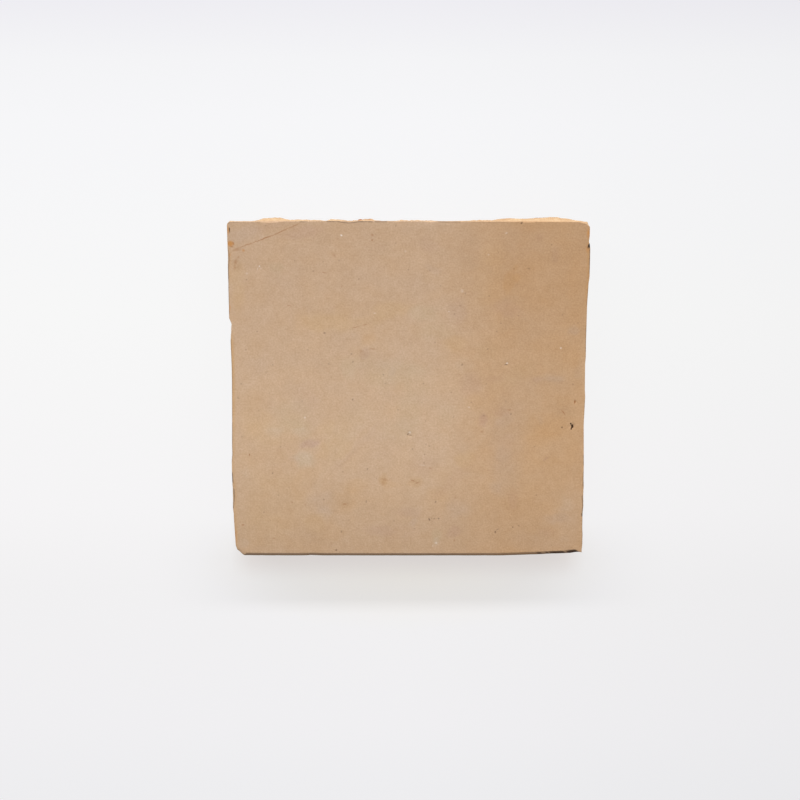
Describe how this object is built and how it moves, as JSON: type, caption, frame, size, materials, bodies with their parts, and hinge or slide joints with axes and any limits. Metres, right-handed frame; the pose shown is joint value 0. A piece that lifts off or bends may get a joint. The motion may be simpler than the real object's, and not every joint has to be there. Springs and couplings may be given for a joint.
{
  "type": "zellige tile",
  "caption": "Square hand-cut fired-clay tile, unglazed: a smoothed face with chipped edges, and chiselled walls that lean in under it towards a smaller flat back.",
  "frame": {"origin": "centre of the flat back, in the plane that is bedded on the wall or floor", "axes": "+Z out of the face, along the thickness; +X and +Y along the edges of the face, +X to the right and +Y up as the face is seen"},
  "size_m": [0.1002, 0.1002, 0.012],
  "materials": {
    "clay": "matte"
  },
  "bodies": {
    "root": {"tile": "clay"}
  },
  "joints": []
}
